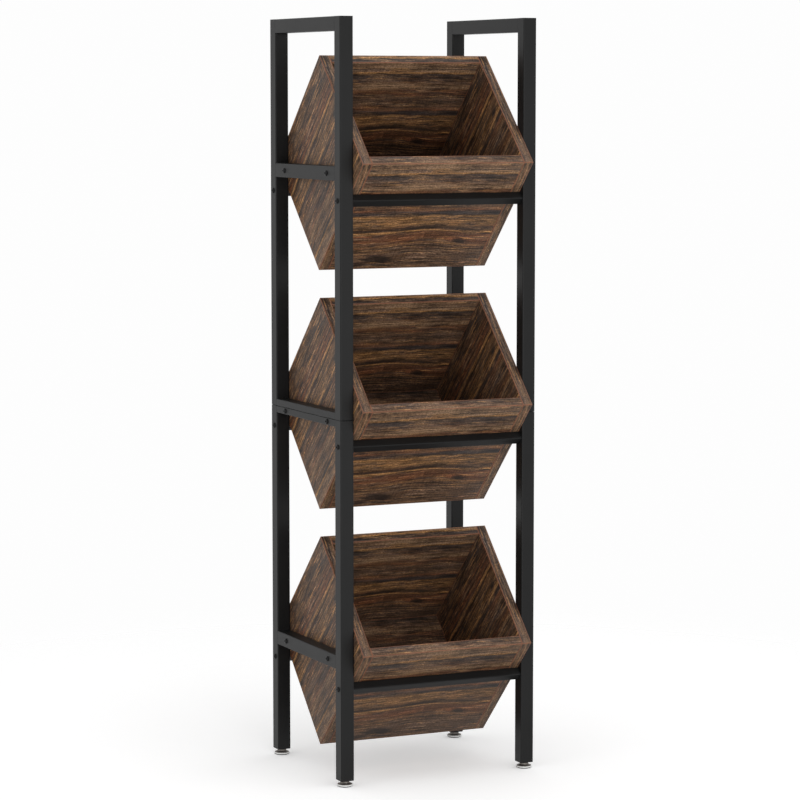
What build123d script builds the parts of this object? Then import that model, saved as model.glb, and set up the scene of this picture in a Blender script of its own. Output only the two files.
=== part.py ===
"""A stand of square-tube side frames that carries three tilted bins of wood-print board.

Millimetres. The origin is on the floor under the middle of the stand, +Z is up, +X is to the right
and the bins open towards -Y. Left and right are as seen from the front.
"""

import os
from math import cos, pi, radians, sin

from build123d import *

# Frame
FRAME_WIDTH = 380.0
FRAME_DEPTH = 314.0
STAND_HEIGHT = 1350.0
SEAM_HEIGHT = 650.0
FRAME_SETBACK = 7.0
TUBE = 25.0
TUBE_WALL = 1.2
TUBE_CORNER = 1.2
SEAM_GAP = 0.6

# Levels: the rail tops of neighbouring levels are one pitch apart
LEVEL_PITCH = 429.0

# Cross rails, turned so that one flat lies on the bin's slanted board
CROSS_TUBE = 16.0
CROSS_WALL = 1.2
CROSS_CORNER = 0.9

# Bins, measured in the bin's own frame before it is tilted
BOARD = 18.0
BIN_OPENING = 266.0
BIN_DEPTH = 272.0
BIN_TILT = 45.0
BIN_LIFT = 2.8

# Bolts
BOLT_RADIUS = 3.0
BOLT_HEAD_RADIUS = 5.25
BOLT_HEAD_HEIGHT = 3.3
BIN_BOLT_SPAN = 190.0
BIN_BOLT_SHIFT = -2.5
SECTION_BOLT_SPAN = 90.0
SECTION_NUT_RADIUS = 5.5
SECTION_NUT_HEIGHT = 6.0
INSERT_NUT_RADIUS = 5.0
INSERT_NUT_SKIN = 4.0
END_NUT_LENGTH = 18.0
THREAD_RELIEF = 2.0

# Panel joinery
CAM_RADIUS = 7.5
CAM_SKIN = 5.0
CAM_SETBACK = 24.0
CAM_SLOT = 8.0
CAM_BOLT_RADIUS = 3.0
CAM_BOLT_TIP = 1.5
DOWEL_RADIUS = 4.0
DOWEL_LENGTH = 32.0
JOINERY_SKIN = 6.0
JOINERY_SPAN = 110.0

# Feet and post ends
FOOT_REACH = 11.0
SOLE_RADIUS = 14.0
SOLE_HEIGHT = 4.0
SOLE_EDGE = 1.0
COLLAR_RADIUS = 11.5
COLLAR_RIM = 1.0
COLLAR_FLARE = 3.0
NECK_RADIUS = 6.5
NECK_LENGTH = 1.5
STUD_RADIUS = 4.0
STUD_LENGTH = 40.0
FOOT_INSERT_LENGTH = 22.0
CAP_DEPTH = 10.0
CAP_WALL = 2.0

# Clearances, and how far a cutting tool runs past the face that it cuts
FIT = 0.1
SEAT = 0.2
BIN_SIDE_GAP = 0.3
BOLT_CLEARANCE = 0.3
OVERSHOOT = 1.0

# Small turned pieces and their bores are drawn with few sides, which keeps the many of them light
SHANK_SIDES = 8
STUD_SIDES = 16
FOOT_SIDES = 32
HEAD_SIDES = 12
CAM_SIDES = 10
NUT_SIDES = 6
DOWEL_SIDES = 6

# Places worked out from the sizes above
SIDES = {"left": -1, "right": 1}
DEPTHS = {"front": -1, "rear": 1}
LEVELS = {"top": 1, "middle": 0, "bottom": -1}
LONG_PANELS = ("front", "back", "floor")
SEAM_RAIL = TUBE / 2
INNER_WIDTH = FRAME_WIDTH - 2 * TUBE
POST_X = (FRAME_WIDTH - TUBE) / 2
POST_Y = (FRAME_DEPTH - TUBE) / 2
BIN_LENGTH = INNER_WIDTH - 2 * BIN_SIDE_GAP
LONG_PANEL = BIN_LENGTH - 2 * BOARD
TUBE_BORE = TUBE - 2 * TUBE_WALL
CROSS_BORE = CROSS_TUBE - 2 * CROSS_WALL
INSERT_DEPTH = BOARD - INSERT_NUT_SKIN


def rail_top(level):
    """Height of the top face of the side rail that carries this level's bin."""
    return SEAM_HEIGHT + SEAM_RAIL + LEVELS[level] * LEVEL_PITCH


def bin_place(level):
    """The tilted frame of one bin: its centre, with the open side up and towards the front."""
    return Pos(0, 0, rail_top(level) + BIN_LIFT) * Rot(BIN_TILT, 0, 0)


def inward(side):
    """Turn that points a piece's +Z from a side frame towards the middle of the stand."""
    return Rot(0, -90 * SIDES[side], 0)


def post_y(depth):
    """Middle of the front or rear posts."""
    return FRAME_SETBACK + DEPTHS[depth] * POST_Y


def prism(radius, length, sides=SHANK_SIDES):
    """A many-sided rod that stands on the origin, for small shanks and bores."""
    return extrude(RegularPolygon(radius, sides), length)


def tube_section(width, height, wall, corner):
    """Hollow tube profile with broken outer corners."""
    outer = Rectangle(width, height)
    outer = chamfer(outer.vertices(), length=corner)
    return outer - Rectangle(width - 2 * wall, height - 2 * wall)


def bolt(length):
    """Bolt: the shank goes up from the origin and the head hangs below it."""
    head = Pos(0, 0, -BOLT_HEAD_HEIGHT) * prism(BOLT_HEAD_RADIUS, BOLT_HEAD_HEIGHT, HEAD_SIDES)
    return head + prism(BOLT_RADIUS, length)


def bolt_bore(length):
    """Clearance hole for a bolt, through walls that lie within the given depth."""
    return Pos(0, 0, -OVERSHOOT) * prism(BOLT_RADIUS + BOLT_CLEARANCE, length + 2 * OVERSHOOT)


def threaded_sleeve(outer, length):
    """A plug or nut: any outline with the bolt's bore through it."""
    return extrude(outer - RegularPolygon(BOLT_RADIUS + FIT, SHANK_SIDES), length)


# Bolt places: each is a location on the outer face, with +Z going into the joint


def bin_bolt_height(level):
    """The bin bolts sit in the middle of the rail, or of the lower of the two seam rails."""
    if LEVELS[level] == 0:
        return SEAM_HEIGHT - SEAM_RAIL / 2
    return rail_top(level) - TUBE / 2


def bin_bolt_places(side, level):
    """The bolts that hold one bin to one side frame."""
    middle = FRAME_SETBACK + BIN_BOLT_SHIFT
    ends = (middle - BIN_BOLT_SPAN / 2, middle + BIN_BOLT_SPAN / 2)
    face = SIDES[side] * FRAME_WIDTH / 2
    return [Pos(face, y, bin_bolt_height(level)) * inward(side) for y in ends]


def cross_rail_centre(depth, level):
    """Centre line of a cross rail, in Y and Z: between the posts and flat against the bin's board.

    The front rail lies on the front panel and the rear rail on the floor panel, so each line is the
    point of the posts' plane that stands off that board by half the rail.
    """
    y = post_y(depth)
    tilt = radians(BIN_TILT)
    stand_off = SEAT + CROSS_TUBE / 2
    if depth == "front":
        z = -(BIN_OPENING / 2 + stand_off + y * cos(tilt)) / sin(tilt)
    else:
        z = (y * sin(tilt) - BIN_DEPTH / 2 - stand_off) / cos(tilt)
    return y, rail_top(level) + BIN_LIFT + z


def cross_bolt_place(side, depth, level):
    """The bolt that holds one end of a cross rail to its post."""
    y, z = cross_rail_centre(depth, level)
    return Pos(SIDES[side] * FRAME_WIDTH / 2, y, z) * inward(side)


def section_bolt_places(side):
    """The bolts that hold the upper frame section on the lower one, put in from below."""
    ends = (FRAME_SETBACK - SECTION_BOLT_SPAN / 2, FRAME_SETBACK + SECTION_BOLT_SPAN / 2)
    return [Pos(SIDES[side] * POST_X, y, SEAM_HEIGHT - SEAM_RAIL) for y in ends]


# Side frames


def post(side, depth, low, high, levels):
    """One length of post, with the holes for the cross rail bolts of the levels that it carries."""
    profile = tube_section(TUBE, TUBE, TUBE_WALL, TUBE_CORNER)
    solid = Pos(SIDES[side] * POST_X, post_y(depth), low) * extrude(profile, high - low)
    for level in levels:
        solid -= cross_bolt_place(side, depth, level) * bolt_bore(TUBE)
    return solid


def side_rail(side, low, height):
    """A rail between the front and rear posts of one side frame."""
    profile = tube_section(TUBE, height, TUBE_WALL, TUBE_CORNER)
    length = FRAME_DEPTH - 2 * TUBE
    start = Pos(SIDES[side] * POST_X, FRAME_SETBACK - length / 2, low + height / 2)
    return start * Rot(-90, 0, 0) * extrude(profile, length)


def bin_rail(side, level):
    """A side rail that carries a bin."""
    solid = side_rail(side, rail_top(level) - TUBE, TUBE)
    for place in bin_bolt_places(side, level):
        solid -= place * bolt_bore(TUBE)
    return solid


def lower_seam_rail(side):
    """The lower half of the middle rail: it carries the middle bin and the section bolts."""
    solid = side_rail(side, SEAM_HEIGHT - SEAM_RAIL, SEAM_RAIL)
    for place in bin_bolt_places(side, "middle"):
        solid -= place * bolt_bore(TUBE)
    for place in section_bolt_places(side):
        solid -= place * bolt_bore(SEAM_RAIL)
    return solid


def upper_seam_rail(side):
    """The upper half of the middle rail, with holes in its underside for the section bolts."""
    solid = side_rail(side, SEAM_HEIGHT, SEAM_RAIL)
    for place in section_bolt_places(side):
        solid -= place * Pos(0, 0, SEAM_RAIL) * bolt_bore(TUBE_WALL)
    return solid


def side_frame(side):
    """All the tubes of one side frame, by node name."""
    pieces = {}
    for depth in DEPTHS:
        upper = post(side, depth, SEAM_HEIGHT + SEAM_GAP, STAND_HEIGHT, ["top"])
        lower = post(side, depth, FOOT_REACH, SEAM_HEIGHT, ["middle", "bottom"])
        pieces[f"{side}_upper_{depth}_post"] = upper
        pieces[f"{side}_lower_{depth}_post"] = lower
    pieces[f"{side}_top_rail"] = side_rail(side, STAND_HEIGHT - TUBE, TUBE)
    pieces[f"{side}_upper_bin_rail"] = bin_rail(side, "top")
    pieces[f"{side}_upper_seam_rail"] = upper_seam_rail(side)
    pieces[f"{side}_lower_seam_rail"] = lower_seam_rail(side)
    pieces[f"{side}_lower_bin_rail"] = bin_rail(side, "bottom")
    return pieces


# Cross rails


def cross_rail(depth, level):
    """A thin tube from side to side, turned with the bin that lies on it."""
    profile = tube_section(CROSS_TUBE, CROSS_TUBE, CROSS_WALL, CROSS_CORNER)
    y, z = cross_rail_centre(depth, level)
    along = Pos(-INNER_WIDTH / 2, y, z) * Rot(BIN_TILT, 0, 0) * Rot(0, 90, 0)
    return along * extrude(profile, INNER_WIDTH)


def cross_end_nut(side, depth, level):
    """Square threaded plug inside the end of a cross rail."""
    across = CROSS_BORE - 2 * FIT
    outline = Rot(0, 0, -SIDES[side] * BIN_TILT) * Rectangle(across, across)
    plug = threaded_sleeve(outline, END_NUT_LENGTH)
    return cross_bolt_place(side, depth, level) * Pos(0, 0, TUBE) * plug


# Bins: panels are made in the bin's upright frame, with the opening at the top


def panel_joints(panel):
    """A long panel's middle, the unit step along its end edges and the way to the face with the cams."""
    wall = (BIN_OPENING - BOARD) / 2
    if panel == "front":
        return Vector(0, -wall, 0), Vector(0, 0, 1), Vector(0, 1, 0)
    if panel == "back":
        return Vector(0, wall, 0), Vector(0, 0, 1), Vector(0, 1, 0)
    return Vector(0, 0, (BOARD - BIN_DEPTH) / 2), Vector(0, 1, 0), Vector(0, 0, -1)


def edge_place(panel, end, step):
    """A point on the joint between a long panel and an end panel, with +Z going into the long panel."""
    middle, run, _ = panel_joints(panel)
    x = SIDES[end] * LONG_PANEL / 2
    return Pos(*(middle + run * step + Vector(x, 0, 0))) * inward(end)


def cam_place(panel, end):
    """The middle of a cam pocket on the panel's hidden face, with +Z going into the board."""
    middle, run, face = panel_joints(panel)
    x = SIDES[end] * (LONG_PANEL / 2 - CAM_SETBACK)
    origin = middle + run * (JOINERY_SPAN / 2) + face * (BOARD / 2) + Vector(x, 0, 0)
    return Plane(origin, x_dir=(-SIDES[end], 0, 0), z_dir=-face).location


def cam_disc():
    """Cam of a knock-down joint: a thick disc, slotted from its rim for the end of the bolt."""
    thickness = BOARD - CAM_SKIN - FIT
    disc = prism(CAM_RADIUS - FIT, thickness, CAM_SIDES)
    slot = Box(2 * CAM_RADIUS, CAM_SLOT, CAM_SLOT)
    return disc - Pos(-CAM_RADIUS + CAM_BOLT_TIP + FIT, 0, BOARD / 2) * slot


def cam_bolt():
    """Bolt that stands out of the end panel and ends inside the cam's slot, just past its middle."""
    root = JOINERY_SKIN - BOARD + FIT
    return Pos(0, 0, root) * prism(CAM_BOLT_RADIUS, CAM_SETBACK + CAM_BOLT_TIP - root)


def dowel():
    """Wooden dowel, sunk in the end panel as far as the board allows."""
    root = JOINERY_SKIN - BOARD + FIT
    return Pos(0, 0, root) * prism(DOWEL_RADIUS, DOWEL_LENGTH, DOWEL_SIDES)


def long_panel(panel):
    """Front, back or floor board with its cam pockets, cam bolt bores and dowel holes."""
    middle, _, _ = panel_joints(panel)
    if panel == "floor":
        board = Pos(*middle) * Box(LONG_PANEL, BIN_OPENING - 2 * BOARD, BOARD)
    else:
        board = Pos(*middle) * Box(LONG_PANEL, BOARD, BIN_DEPTH)
    for end in SIDES:
        board -= cam_place(panel, end) * prism(CAM_RADIUS, BOARD - CAM_SKIN, CAM_SIDES)
        bolt_way = prism(CAM_BOLT_RADIUS + FIT, CAM_SETBACK + CAM_BOLT_TIP + FIT)
        board -= edge_place(panel, end, JOINERY_SPAN / 2) * bolt_way
        dowel_depth = DOWEL_LENGTH + JOINERY_SKIN - BOARD + 2 * FIT
        dowel_hole = prism(DOWEL_RADIUS + FIT, dowel_depth, DOWEL_SIDES)
        board -= edge_place(panel, end, -JOINERY_SPAN / 2) * dowel_hole
    return board


def end_panel(end, level):
    """Square end board: joint holes on its inner face, insert nut holes on its outer face."""
    x = SIDES[end] * (BIN_LENGTH - BOARD) / 2
    board = Pos(x, 0, 0) * Box(BOARD, BIN_OPENING, BIN_DEPTH)
    sunk = BOARD - JOINERY_SKIN
    for panel in LONG_PANELS:
        cam_hole = Pos(0, 0, -sunk) * prism(CAM_BOLT_RADIUS + FIT, sunk)
        board -= edge_place(panel, end, JOINERY_SPAN / 2) * cam_hole
        dowel_hole = Pos(0, 0, -sunk) * prism(DOWEL_RADIUS + FIT, sunk, DOWEL_SIDES)
        board -= edge_place(panel, end, -JOINERY_SPAN / 2) * dowel_hole
    board = bin_place(level) * board
    for place in bin_bolt_places(end, level):
        nut_hole = prism(INSERT_NUT_RADIUS + FIT, INSERT_DEPTH)
        board -= place * Pos(0, 0, TUBE + BIN_SIDE_GAP) * nut_hole
    return board


def bin_panels(level):
    """The boards of one bin, by node name."""
    pieces = {}
    for end in SIDES:
        pieces[f"{level}_bin_{end}_end"] = end_panel(end, level)
    for panel in LONG_PANELS:
        pieces[f"{level}_bin_{panel}"] = bin_place(level) * long_panel(panel)
    return pieces


# Feet and post ends


def foot_place(side, depth):
    """The point on the floor under a post."""
    return Pos(SIDES[side] * POST_X, post_y(depth), 0)


def foot_sole():
    """Plastic disc that stands on the floor."""
    disc = prism(SOLE_RADIUS, SOLE_HEIGHT, FOOT_SIDES)
    return chamfer(disc.edges().group_by(Axis.Z)[-1], length=SOLE_EDGE)


def foot_stud():
    """Collar that flares out over the sole, and the neck and stud above it, one turned piece."""
    collar = prism(COLLAR_RADIUS, COLLAR_RIM + COLLAR_FLARE, FOOT_SIDES)
    shoulder = collar.faces().sort_by(Axis.Z)[-1]
    inset = (COLLAR_RADIUS - NECK_RADIUS) * cos(pi / FOOT_SIDES)
    collar = chamfer(shoulder.edges(), length=inset, length2=COLLAR_FLARE, reference=shoulder)
    neck = prism(NECK_RADIUS, NECK_LENGTH, FOOT_SIDES)
    stud = Pos(0, 0, NECK_LENGTH) * prism(STUD_RADIUS, STUD_LENGTH, STUD_SIDES)
    collar += Pos(0, 0, COLLAR_RIM + COLLAR_FLARE) * (neck + stud)
    return Pos(0, 0, SOLE_HEIGHT) * collar


def foot_insert():
    """Square plug in the lower end of a post, with the bore for the stud."""
    across = TUBE_BORE - 2 * FIT
    bore = RegularPolygon(STUD_RADIUS + FIT, SHANK_SIDES, major_radius=False)
    return Pos(0, 0, FOOT_REACH) * extrude(Rectangle(across, across) - bore, FOOT_INSERT_LENGTH)


def post_cap():
    """Hollow plug that closes the upper end of a post, flush with its edge."""
    across = TUBE_BORE - 2 * FIT
    plug = extrude(Rectangle(across, across), CAP_DEPTH)
    hollow = extrude(Rectangle(across - 2 * CAP_WALL, across - 2 * CAP_WALL), CAP_DEPTH - CAP_WALL)
    return Pos(0, 0, STAND_HEIGHT - CAP_DEPTH) * (plug - hollow)


# Fasteners, one node for each kind


def fasteners():
    """Every group of like fasteners, by node name."""
    corners = [foot_place(side, depth) for side in SIDES for depth in DEPTHS]
    section = [place for side in SIDES for place in section_bolt_places(side)]
    bin_bolts = [p for side in SIDES for level in LEVELS for p in bin_bolt_places(side, level)]
    rail_ends = [(side, depth, level) for side in SIDES for depth in DEPTHS for level in LEVELS]
    joints = [(level, panel, end) for level in LEVELS for panel in LONG_PANELS for end in SIDES]

    bin_bolt = bolt(TUBE + BIN_SIDE_GAP + INSERT_DEPTH - THREAD_RELIEF)
    insert_nut = threaded_sleeve(RegularPolygon(INSERT_NUT_RADIUS, SHANK_SIDES), INSERT_DEPTH)
    rail_bolt = bolt(TUBE + END_NUT_LENGTH - THREAD_RELIEF)
    section_bolt = bolt(SEAM_RAIL + TUBE_WALL + SECTION_NUT_HEIGHT)
    section_nut = threaded_sleeve(RegularPolygon(SECTION_NUT_RADIUS, NUT_SIDES), SECTION_NUT_HEIGHT)
    nut_seat = Pos(0, 0, SEAM_RAIL + TUBE_WALL)
    half_span = JOINERY_SPAN / 2
    return {
        "foot_inserts": [place * foot_insert() for place in corners],
        "post_caps": [place * post_cap() for place in corners],
        "section_bolts": [place * section_bolt for place in section],
        "section_nuts": [place * nut_seat * section_nut for place in section],
        "bin_bolts": [place * bin_bolt for place in bin_bolts],
        "bin_insert_nuts": [place * Pos(0, 0, TUBE + BIN_SIDE_GAP) * insert_nut for place in bin_bolts],
        "cross_rail_bolts": [cross_bolt_place(*end) * rail_bolt for end in rail_ends],
        "cross_rail_end_nuts": [cross_end_nut(*end) for end in rail_ends],
        "cam_discs": [bin_place(lv) * cam_place(panel, end) * cam_disc() for lv, panel, end in joints],
        "cam_bolts": [bin_place(lv) * edge_place(pn, end, half_span) * cam_bolt() for lv, pn, end in joints],
        "panel_dowels": [bin_place(lv) * edge_place(pn, end, -half_span) * dowel() for lv, pn, end in joints],
    }


def build():
    """Every node of the stand, by name."""
    nodes = {}
    for side in SIDES:
        nodes.update(side_frame(side))
    for level in LEVELS:
        for depth in DEPTHS:
            nodes[f"{level}_{depth}_cross_rail"] = cross_rail(depth, level)
        nodes.update(bin_panels(level))
    for side in SIDES:
        for depth in DEPTHS:
            nodes[f"{depth}_{side}_foot_stud"] = foot_place(side, depth) * foot_stud()
            nodes[f"{depth}_{side}_foot_sole"] = foot_place(side, depth) * foot_sole()
    for name, solids in fasteners().items():
        nodes[name] = Compound(children=[solid.solid() for solid in solids])
    return nodes


os.makedirs("parts", exist_ok=True)
for name, shape in build().items():
    export_step(shape, f"parts/{name}.step")
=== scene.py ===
# %% [markdown]
# # A stand with three tilted bins
# The real stand is flat-packed furniture: two welded side frames of square steel tube in satin black,
# and three boxes of wood-print board, each hung on its corner so that it opens up and forward.
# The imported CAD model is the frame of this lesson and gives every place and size. Here each piece gets
# what the CAD leaves out: rounded arrises, sockets, threads, weld fillets and finishes.

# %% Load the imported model
import math

import bpy
import numpy as np
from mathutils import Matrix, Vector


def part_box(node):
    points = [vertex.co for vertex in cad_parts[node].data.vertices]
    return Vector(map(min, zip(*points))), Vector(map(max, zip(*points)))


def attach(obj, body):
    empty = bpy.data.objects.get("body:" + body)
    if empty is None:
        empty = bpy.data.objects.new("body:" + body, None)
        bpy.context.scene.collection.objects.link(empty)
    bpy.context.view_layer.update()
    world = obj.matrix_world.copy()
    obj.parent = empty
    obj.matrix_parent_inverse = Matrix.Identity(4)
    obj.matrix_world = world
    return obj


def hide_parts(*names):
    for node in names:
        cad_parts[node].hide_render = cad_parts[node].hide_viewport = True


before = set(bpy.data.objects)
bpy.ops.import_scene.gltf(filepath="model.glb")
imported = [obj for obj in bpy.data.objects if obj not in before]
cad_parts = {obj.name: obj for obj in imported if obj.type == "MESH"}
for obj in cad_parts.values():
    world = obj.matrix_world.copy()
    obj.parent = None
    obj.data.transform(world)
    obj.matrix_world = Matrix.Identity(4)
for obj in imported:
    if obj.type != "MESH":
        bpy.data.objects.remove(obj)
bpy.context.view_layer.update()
scene = bpy.context.scene
scene.view_settings.view_transform = "Standard"
MM = 0.001

# %% [markdown]
# ## The camera
# The picture was taken with a long lens from the front left, a little above the top bin. A camera with
# a vertical shift would keep every post exactly upright, but the shift would stay in all other views and
# push the stand out of them. So the camera looks down by a few degrees instead, which moves no corner by
# more than a few pixels.

# %% Make the camera
EYE = (-2.2893, -4.9252, 1.2209)
TURN_DEGREES = 24.867
PITCH_DEGREES = 5.843
LENS_MM = 135.75
FULL_TURN = 2 * math.pi
QUARTER_TURN = FULL_TURN / 4

camera_data = bpy.data.cameras.new("photo_camera")
camera_data.lens = LENS_MM
camera = bpy.data.objects.new("photo_camera", camera_data)
camera.location = EYE
camera.rotation_euler = (QUARTER_TURN - math.radians(PITCH_DEGREES), 0, -math.radians(TURN_DEGREES))
scene.collection.objects.link(camera)
scene.camera = camera
print("camera", EYE, "with a lens of", LENS_MM, "mm")

# %% [markdown]
# ## Shader arithmetic
# A finish is a network of nodes, and most of those nodes are sums and products. They could be placed and
# linked one by one, but that hides the idea. So one small class wraps a node's output socket: arithmetic
# on it adds Math nodes, `between`, `mix` and `shaded` add Mix nodes for colours, and `node` adds any other.

# %% A socket that can be calculated with
MIX_FACTOR = 0
MIX_FROM = 6
MIX_TO = 7
MIX_COLOUR = 2


def fill_ramp(ramp, stops):
    """Gives a colour ramp its stops, each a position and a colour."""
    ramp.elements.remove(ramp.elements[-1])
    for number, (position, colour) in enumerate(stops):
        element = ramp.elements.new(position) if number else ramp.elements[0]
        element.position = position
        element.color = colour


class Wire:
    """One output socket of a node tree, or only the tree while there is no socket yet."""

    def __init__(self, tree, socket=None):
        self.tree = tree
        self.socket = socket

    def node(self, kind, settings=None, inputs=None, out=0):
        """Adds a node: its settings come first, then each socket gets its value or its link."""
        made = self.tree.nodes.new(kind)
        for name, value in (settings or {}).items():
            if name == "stops":
                fill_ramp(made.color_ramp, value)
            else:
                setattr(made, name, value)
        for key, value in (inputs or {}).items():
            if isinstance(value, Wire):
                self.tree.links.new(value.socket, made.inputs[key])
            else:
                made.inputs[key].default_value = value
        return Wire(self.tree, made.outputs[out] if made.outputs else None)

    def output(self, name):
        """Another output of the node that this wire comes from."""
        return Wire(self.tree, self.socket.node.outputs[name])

    def math(self, operation, *values):
        """A Math node on one or two values."""
        return self.node("ShaderNodeMath", {"operation": operation}, dict(enumerate(values)))

    def __add__(self, other):
        return self.math("ADD", self, other)

    def __radd__(self, other):
        return self.math("ADD", other, self)

    def __sub__(self, other):
        return self.math("SUBTRACT", self, other)

    def __rsub__(self, other):
        return self.math("SUBTRACT", other, self)

    def __mul__(self, other):
        return self.math("MULTIPLY", self, other)

    def __rmul__(self, other):
        return self.math("MULTIPLY", other, self)

    def __truediv__(self, other):
        return self.math("DIVIDE", self, other)

    def __rtruediv__(self, other):
        return self.math("DIVIDE", other, self)

    def __neg__(self):
        return self.math("MULTIPLY", self, -1.0)

    def larger(self, other):
        """The larger of two values."""
        return self.math("MAXIMUM", self, other)

    def step(self, low, high):
        """A soft step: 0 below low, 1 above high."""
        inputs = {"Value": self, "From Min": low, "From Max": high}
        return self.node("ShaderNodeMapRange", {"interpolation_type": "SMOOTHSTEP"}, inputs)

    def bell(self, middle, width):
        """A bell curve: e to the power of minus the square of (value - middle) / width."""
        away = (self - middle) / width
        return self.math("EXPONENT", -(away * away))

    def blended(self, first, second, share, kind="MIX"):
        """A Mix node for colours: a share of the second over the first, mixed or multiplied."""
        settings = {"data_type": "RGBA", "blend_type": kind}
        inputs = {MIX_FACTOR: share, MIX_FROM: first, MIX_TO: second}
        return self.node("ShaderNodeMix", settings, inputs, out=MIX_COLOUR)

    def between(self, dark, light):
        """The colour on the way from dark to light that this value, from 0 to 1, points at."""
        return self.blended(dark, light, self)

    def mix(self, other, share):
        """This colour, part of the way to another."""
        return self.blended(self, other, share)

    def shaded(self, value):
        """This colour made darker or lighter by a value."""
        return self.blended(self, value, 1.0, "MULTIPLY")


print("shader arithmetic is ready")

# %% [markdown]
# ## Helpers for finishes
# Colours could be typed as the linear values that the renderer works with, but those are hard to picture.
# So they are written as a screen shows them, from 0 to 255, and turned into linear ones. Every finish
# starts from an empty node tree and ends in one Principled shader.

# %% Start and close a finish
SCREEN_WHITE = 255.0
DARK_PART = 0.04045
DARK_SLOPE = 12.92
GAMMA_OFFSET = 0.055
GAMMA = 2.4
PLAIN_DETAIL = 2.0


def seen(red, green, blue):
    """The linear colour of a screen colour, by the sRGB formula."""
    share = np.array([red, green, blue]) / SCREEN_WHITE
    curved = ((share + GAMMA_OFFSET) / (1 + GAMMA_OFFSET)) ** GAMMA
    linear = np.where(share <= DARK_PART, share / DARK_SLOPE, curved)
    return (*linear.tolist(), 1.0)


def new_finish(name):
    """An empty material and the wire to start drawing it from."""
    finish = bpy.data.materials.new(name)
    finish.use_nodes = True
    finish.node_tree.nodes.clear()
    return finish, Wire(finish.node_tree)


def close_finish(start, **sockets):
    """Ends a finish with a Principled shader. Underscores in the names stand for spaces."""
    inputs = {name.replace("_", " "): value for name, value in sockets.items()}
    shader = start.node("ShaderNodeBsdfPrincipled", {}, inputs)
    start.node("ShaderNodeOutputMaterial", {}, {"Surface": shader})


def object_place(start):
    """Where a point lies in the piece's own metres."""
    return start.node("ShaderNodeTexCoord", out="Object")


def object_noise(start, grain, detail=PLAIN_DETAIL):
    """Noise in the piece's own space, with lumps of about `grain` millimetres."""
    inputs = {"Vector": object_place(start), "Scale": 1 / (grain * MM), "Detail": detail}
    return start.node("ShaderNodeTexNoise", {}, inputs)


def bumped(start, height, depth):
    """A normal from a height between 0 and 1 that stands for `depth` millimetres."""
    return start.node("ShaderNodeBump", {}, {"Height": height, "Distance": depth * MM})


print("screen white is", seen(*[SCREEN_WHITE] * 3), "in linear light")

# %% [markdown]
# ## Satin black powder coat
# The tubes are sprayed with powder and baked. A plain black would do from far off, but close up such a
# coat has a faint orange peel, and over a longer run its gloss drifts a little. Two noises do that: a fine
# one for the peel, which also makes the bump, and a broad one for the drift of colour and roughness.

# %% Frame paint
PEEL_GRAIN = 1.6
PEEL_DEPTH = 0.03
DRIFT_GRAIN = 60.0
DRIFT_DETAIL = 3.0
PAINT_SHINE = 0.18


def powder_coat(name, dark, light, least_rough, rough_drift):
    """Paint whose colour and roughness drift slowly over an orange-peel bump."""
    finish, start = new_finish(name)
    peel = object_noise(start, PEEL_GRAIN)
    drift = object_noise(start, DRIFT_GRAIN, DRIFT_DETAIL)
    colour = drift.between(dark, light)
    rough = least_rough + rough_drift * (drift + peel)
    normal = bumped(start, peel, PEEL_DEPTH)
    close_finish(start, Base_Color=colour, Roughness=rough, Normal=normal, Specular_IOR_Level=PAINT_SHINE)
    return finish


frame_paint = powder_coat("satin_black_powder_coat", seen(19, 19, 19), seen(27, 27, 27),
                          least_rough=0.36, rough_drift=0.08)
black_oxide = powder_coat("black_oxide_on_bolts", seen(14, 14, 15), seen(24, 24, 25),
                          least_rough=0.26, rough_drift=0.12)
black_plastic = powder_coat("black_nylon", seen(24, 24, 24), seen(32, 32, 32),
                            least_rough=0.48, rough_drift=0.1)
print("painted finishes:", frame_paint.name, black_oxide.name, black_plastic.name)

# %% [markdown]
# ## Bare metal, nylon and beech
# The small parts are zinc-plated steel, a die-cast cam alloy, white nylon soles and beech dowels. One
# shader with different numbers would make them all look like paint. So plated steel is metallic with a
# cloudy roughness, nylon is a pale plastic with a fine pebble, and beech has short flecks along its length.

# %% Small part finishes
CLOUD_GRAIN = 6.0
CLOUD_DETAIL = 4.0
CLOUD_ROUGH = 0.25
PEBBLE_GRAIN = 0.8
PEBBLE_DEPTH = 0.02
PEBBLE_ROUGH = 0.2
NYLON_ROUGH = 0.4
# Heights in millimetres over which the painted shade at the sole's lowest edge fades out.
PAINTED_SHADE_HEIGHTS = (1.7, 2.2)
FLECKS_PER_METRE = (120.0, 1200.0, 1200.0)
FLECK_DETAIL = 3.0
FLECK_DEPTH = 0.05
FLECK_ROUGH = 0.2
BEECH_ROUGH = 0.6


def plated(name, dark, light, least_rough):
    """Metal whose tone and roughness are clouded by the plating bath."""
    finish, start = new_finish(name)
    cloud = object_noise(start, CLOUD_GRAIN, CLOUD_DETAIL)
    rough = least_rough + CLOUD_ROUGH * cloud
    normal = bumped(start, object_noise(start, PEBBLE_GRAIN), PEBBLE_DEPTH)
    close_finish(start, Base_Color=cloud.between(dark, light), Metallic=1.0, Roughness=rough, Normal=normal)
    return finish


def nylon(name, dark, light, painted_shade):
    """Pale moulded plastic with a fine pebble, and painted shade along its lowest edge next to the floor.
    """
    finish, start = new_finish(name)
    pebble = object_noise(start, PEBBLE_GRAIN)
    place = start.node("ShaderNodeSeparateXYZ", {}, {"Vector": object_place(start)})
    height = place.output("Z") / MM
    # Below these heights the colour turns dark: painted shade in the hollow where the sole meets the floor.
    colour = pebble.between(dark, light).mix(painted_shade, 1 - height.step(*PAINTED_SHADE_HEIGHTS))
    rough = NYLON_ROUGH + PEBBLE_ROUGH * pebble
    normal = bumped(start, pebble, PEBBLE_DEPTH)
    close_finish(start, Base_Color=colour, Roughness=rough, Normal=normal)
    return finish


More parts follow.
